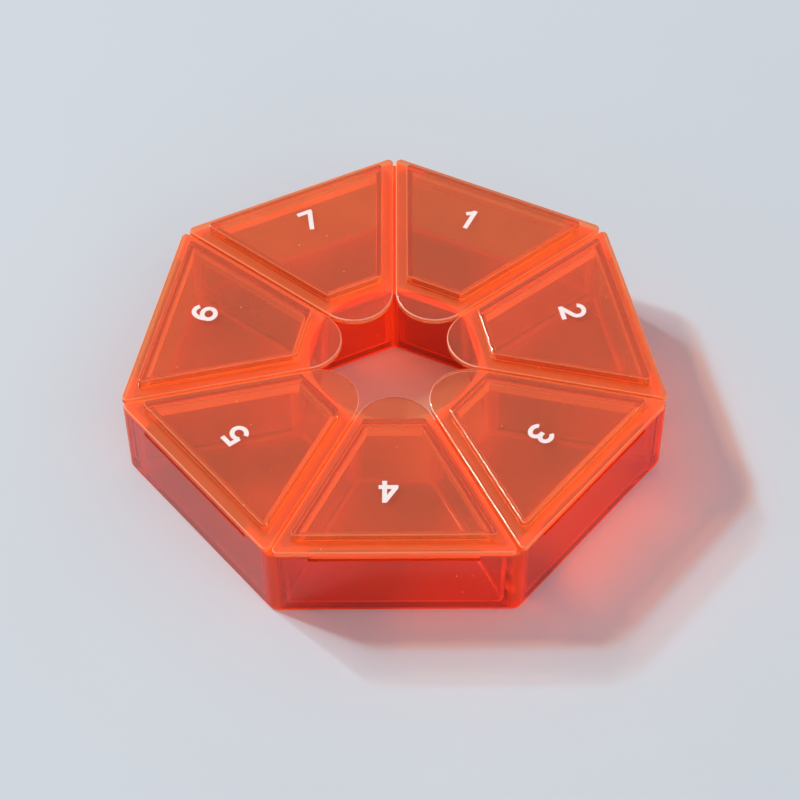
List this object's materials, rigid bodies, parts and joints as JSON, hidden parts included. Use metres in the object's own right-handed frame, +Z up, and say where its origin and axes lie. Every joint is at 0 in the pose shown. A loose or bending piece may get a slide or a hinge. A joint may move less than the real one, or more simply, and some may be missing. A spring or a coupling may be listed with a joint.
{
  "type": "weekly pill organizer",
  "caption": "Heptagonal ring-shaped weekly pill organizer in translucent orange plastic, with a hinged lid and a finger tab on each wedge compartment and an open centre.",
  "frame": {"origin": "centre of the ring on the base plane", "axes": "+Z up through the centre hole; -Y towards the front lid, a corner of the ring is on +Y"},
  "size_m": [0.1064, 0.1038, 0.0214],
  "materials": {
    "tray_plastic": "translucent orange, glossy moulded",
    "lid_plastic": "translucent orange, slightly frosted",
    "lid_print": "white ink, screen printed"
  },
  "bodies": {
    "tray": {"tray": "tray_plastic"},
    "lid_1": {"lid_1": "lid_plastic"},
    "lid_2": {"lid_2": "lid_plastic"},
    "lid_3": {"lid_3": "lid_plastic"},
    "lid_4": {"lid_4": "lid_plastic"},
    "lid_5": {"lid_5": "lid_plastic"},
    "lid_6": {"lid_6": "lid_plastic"},
    "lid_7": {"lid_7": "lid_plastic"}
  },
  "joints": [
    {"name": "lid_1_hinge", "type": "hinge", "parent": "tray", "child": "lid_1", "pos_m": [0.02097, 0.04354, 0.01685], "axis": [-0.901, 0.4339, 0], "range_deg": [0, 95]},
    {"name": "lid_2_hinge", "type": "hinge", "parent": "tray", "child": "lid_2", "pos_m": [0.04712, 0.01075, 0.01685], "axis": [-0.2225, 0.9749, 0], "range_deg": [0, 95]},
    {"name": "lid_3_hinge", "type": "hinge", "parent": "tray", "child": "lid_3", "pos_m": [0.03779, -0.03013, 0.01685], "axis": [0.6235, 0.7818, 0], "range_deg": [0, 95]},
    {"name": "lid_4_hinge", "type": "hinge", "parent": "tray", "child": "lid_4", "pos_m": [0, -0.04833, 0.01685], "axis": [1, 0, 0], "range_deg": [0, 95]},
    {"name": "lid_5_hinge", "type": "hinge", "parent": "tray", "child": "lid_5", "pos_m": [-0.03779, -0.03013, 0.01685], "axis": [0.6235, -0.7818, 0], "range_deg": [0, 95]},
    {"name": "lid_6_hinge", "type": "hinge", "parent": "tray", "child": "lid_6", "pos_m": [-0.04712, 0.01075, 0.01685], "axis": [-0.2225, -0.9749, 0], "range_deg": [0, 95]},
    {"name": "lid_7_hinge", "type": "hinge", "parent": "tray", "child": "lid_7", "pos_m": [-0.02097, 0.04354, 0.01685], "axis": [-0.901, -0.4339, 0], "range_deg": [0, 95]}
  ]
}
